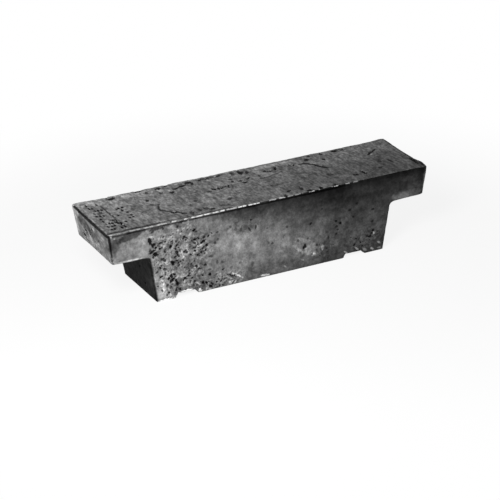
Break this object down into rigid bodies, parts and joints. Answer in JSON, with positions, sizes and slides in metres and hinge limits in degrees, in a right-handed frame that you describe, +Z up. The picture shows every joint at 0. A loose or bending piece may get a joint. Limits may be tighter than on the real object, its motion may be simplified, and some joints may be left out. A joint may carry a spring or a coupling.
{
  "type": "selenium ingot",
  "caption": "Cast selenium ingot: a long tapered bar with a lug at each end to lift it by and grooves across its foot for bundling straps.",
  "frame": {"origin": "middle of the face that the ingot rests on, on the floor", "axes": "+X along the ingot's length, +Y across it, +Z up, away from the floor"},
  "size_m": [0.488, 0.12, 0.115],
  "materials": {
    "cast_selenium": "dark grey as-cast skin, half-metallic, pitted and fine-grained"
  },
  "bodies": {
    "root": {"ingot": "cast_selenium"}
  },
  "joints": []
}
